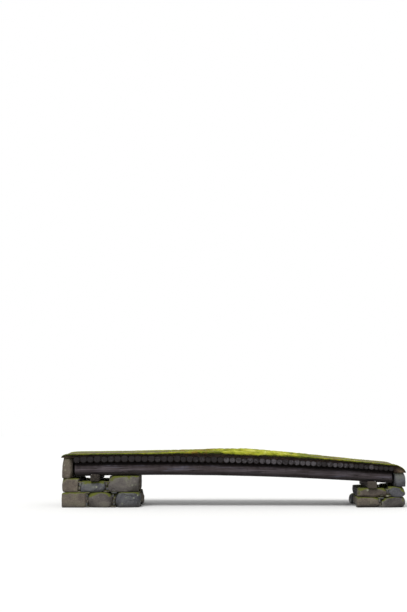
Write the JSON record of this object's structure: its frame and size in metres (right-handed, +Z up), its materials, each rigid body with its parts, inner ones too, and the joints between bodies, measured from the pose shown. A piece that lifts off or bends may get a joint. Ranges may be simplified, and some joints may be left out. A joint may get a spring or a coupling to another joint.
{
  "type": "earth-covered log bridge",
  "caption": "Low arched garden footbridge: bowed log girders, round cross poles with their ends in view, packed earth with mossy banks and a gravel path, on rubble stone abutments.",
  "frame": {"origin": "middle of the footprint, at the level where the abutment stones stand", "axes": "+X along the deck towards the lower bank, +Y across it away from the side in view, +Z up"},
  "size_m": [7.6, 1.544, 1.2599],
  "materials": {
    "girder_log": "weathered, barked round log",
    "sill_timber": "rough squared timber",
    "pole_log": "weathered round logs",
    "packed_earth": "packed damp earth",
    "gravel": "fine packed gravel",
    "moss": "dense cushion moss",
    "rubble_stone": "rough natural stone"
  },
  "bodies": {
    "root": {"girder_front": "girder_log", "girder_back": "girder_log", "sill_left": "sill_timber", "sill_right": "sill_timber", "poles_1": "pole_log", "poles_2": "pole_log", "poles_3": "pole_log", "poles_4": "pole_log", "poles_5": "pole_log", "poles_6": "pole_log", "poles_7": "pole_log", "poles_8": "pole_log", "earth_bed": "packed_earth", "gravel_path": "gravel", "moss_bank_front": "moss", "moss_bank_back": "moss", "left_front_base_stones": "rubble_stone", "left_middle_base_stones": "rubble_stone", "left_back_base_stones": "rubble_stone", "left_front_upper_stones": "rubble_stone", "left_middle_upper_stones": "rubble_stone", "left_back_upper_stones": "rubble_stone", "right_front_base_stones": "rubble_stone", "right_middle_base_stones": "rubble_stone", "right_back_base_stones": "rubble_stone", "right_front_upper_stones": "rubble_stone", "right_middle_upper_stones": "rubble_stone", "right_back_upper_stones": "rubble_stone", "left_end_stones": "rubble_stone", "right_end_stones": "rubble_stone"}
  },
  "joints": []
}
